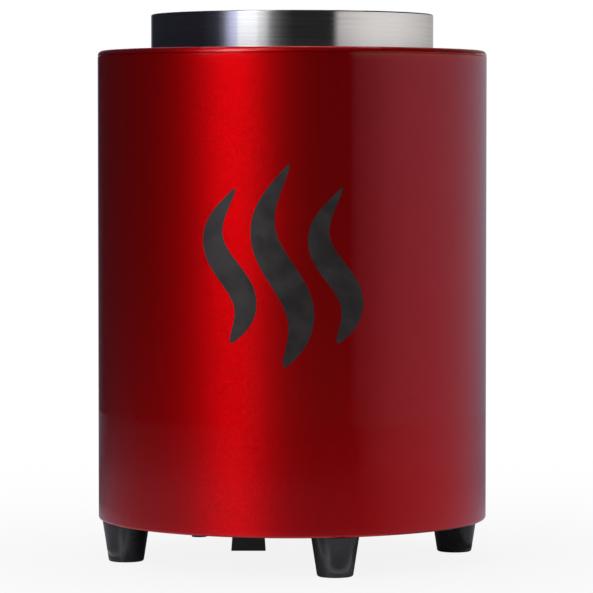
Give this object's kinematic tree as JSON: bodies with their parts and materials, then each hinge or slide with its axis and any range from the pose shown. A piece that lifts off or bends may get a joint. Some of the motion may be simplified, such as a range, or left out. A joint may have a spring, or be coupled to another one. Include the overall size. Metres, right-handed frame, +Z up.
{
  "type": "pet dryer",
  "caption": "Upright canister warm-air dryer: air is drawn in under the base, driven by a motor fan over a heater and blown out of a top collar into a hose.",
  "frame": {"origin": "on the floor, on the round body's axis", "axes": "+Z up along the body's axis, -Y towards the front, the controls at +Y"},
  "size_m": [0.204, 0.2057, 0.285],
  "materials": {
    "red_lacquer": "candy lacquer over a bright flake, clear coated",
    "polished_steel": "mirror polished stainless steel",
    "guard_wire": "bright welded wire",
    "zinc_steel": "zinc plated sheet",
    "screw_steel": "zinc plated",
    "black_paint": "black powder coat",
    "black_plastic": "fine moulded texture",
    "gloss_black": "smooth moulding",
    "black_rubber": "satin rubber",
    "filter_foam": "open cell foam",
    "motor_aluminium": "die cast",
    "lamination": "stacked laminations",
    "copper_wire": "enamelled copper wire",
    "bearing_steel": "ground and polished",
    "heater_sheath": "oxidised sheath",
    "ceramic": "glazed ceramic",
    "brass": "turned",
    "board_green": "solder mask",
    "rocker_red": "smooth moulding",
    "lead_cover": "braided sleeve"
  },
  "bodies": {
    "chassis": {"body_shell": "red_lacquer", "top_deck": "red_lacquer", "outlet_collar": "polished_steel", "outlet_guard": "guard_wire", "deck_screws": "screw_steel", "deck_nuts": "screw_steel", "base_plate": "black_paint", "base_brackets": "zinc_steel", "base_screws": "screw_steel", "intake_guard": "zinc_steel", "guard_screws": "screw_steel", "foot_front": "black_rubber", "foot_right": "black_rubber", "foot_back": "black_rubber", "foot_left": "black_rubber", "foot_screws": "screw_steel", "foot_nuts": "screw_steel", "inner_duct": "zinc_steel", "bulkhead_ring": "zinc_steel", "motor_spider": "zinc_steel", "duct_screws": "screw_steel", "duct_nuts": "screw_steel", "motor_housing": "motor_aluminium", "motor_end_cap": "motor_aluminium", "motor_screws": "screw_steel", "stator_core": "lamination", "stator_windings": "copper_wire", "bearing_outer_rings": "bearing_steel", "bearing_balls": "bearing_steel", "heater_element": "heater_sheath", "heater_frame_lower": "zinc_steel", "heater_frame_upper": "zinc_steel", "heater_screws": "screw_steel", "heater_bushes": "ceramic", "heater_terminals": "brass", "thermostat": "gloss_black", "thermostat_bracket": "zinc_steel", "thermal_fuse": "ceramic", "control_panel": "black_plastic", "panel_screws": "screw_steel", "power_inlet": "gloss_black", "inlet_pins": "screw_steel", "switch_body": "gloss_black", "selector_body": "black_plastic", "selector_nut": "screw_steel", "circuit_board": "board_green", "board_posts": "brass", "board_parts": "gloss_black", "heat_sink": "motor_aluminium", "internal_leads": "lead_cover"},
    "fan": {"bearing_inner_rings": "bearing_steel", "motor_shaft": "bearing_steel", "rotor_core": "lamination", "impeller": "black_plastic", "impeller_nut": "screw_steel"},
    "filter_holder": {"filter_cover": "black_plastic", "lint_filter": "filter_foam"},
    "rocker": {"switch_rocker": "rocker_red"},
    "selector": {"selector_shaft": "bearing_steel", "selector_knob": "black_plastic"}
  },
  "joints": [
    {"name": "fan_spin", "type": "hinge", "parent": "chassis", "child": "fan", "pos_m": [0, 0, 0.151], "axis": [0, 0, 1], "continuous": true},
    {"name": "filter_cover_twist", "type": "hinge", "parent": "chassis", "child": "filter_holder", "pos_m": [0, 0, 0.019], "axis": [0, 0, -1], "range_deg": [0, 25]},
    {"name": "rocker_tip", "type": "hinge", "parent": "chassis", "child": "rocker", "pos_m": [0, 0.0907, 0.08], "axis": [0, 0, 1], "range_deg": [0, 16]},
    {"name": "selector_turn", "type": "hinge", "parent": "chassis", "child": "selector", "pos_m": [0, 0.0912, 0.104], "axis": [0, -1, 0], "range_deg": [0, 135]}
  ]
}
